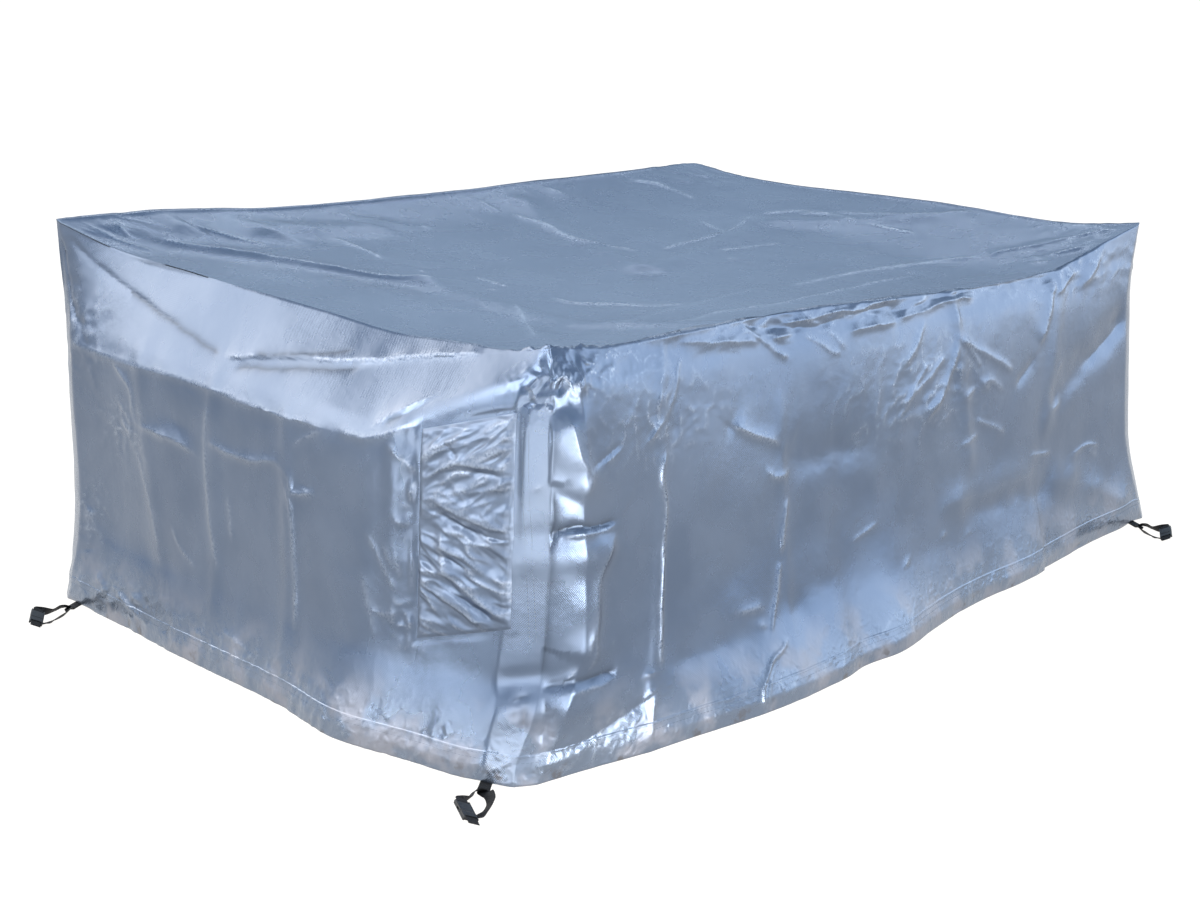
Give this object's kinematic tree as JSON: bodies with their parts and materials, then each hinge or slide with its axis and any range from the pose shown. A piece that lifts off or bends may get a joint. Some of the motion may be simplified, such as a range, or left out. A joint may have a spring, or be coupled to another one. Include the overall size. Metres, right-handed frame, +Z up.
{
  "type": "patio furniture cover",
  "caption": "Rectangular patio furniture cover of silver coated cloth, draped down to the floor, with a sewn-on patch beside one corner and a buckled strap loop at each corner.",
  "frame": {"origin": "centre of the bounding box in plan, on the floor that the hem stands on", "axes": "+Z up, +X along the long walls towards the far short wall, +Y towards the back long wall; the short wall with the patch faces -X"},
  "size_m": [2.863, 2.1224, 0.968],
  "materials": {
    "cloth": "silver-blue woven tape cloth with a glossy coating",
    "patch": "the same cloth, crumpled and shiny",
    "webbing": "matt black woven webbing",
    "buckle": "black moulded plastic, slightly shiny"
  },
  "bodies": {
    "root": {"cover_cloth": "cloth", "corner_patch": "patch", "strap_socket_near": "webbing", "strap_plug_near": "webbing", "buckle_socket_near": "buckle", "buckle_plug_near": "buckle", "strap_socket_left": "webbing", "strap_plug_left": "webbing", "buckle_socket_left": "buckle", "buckle_plug_left": "buckle", "strap_socket_right": "webbing", "strap_plug_right": "webbing", "buckle_socket_right": "buckle", "buckle_plug_right": "buckle", "strap_socket_back": "webbing", "strap_plug_back": "webbing", "buckle_socket_back": "buckle", "buckle_plug_back": "buckle"}
  },
  "joints": []
}
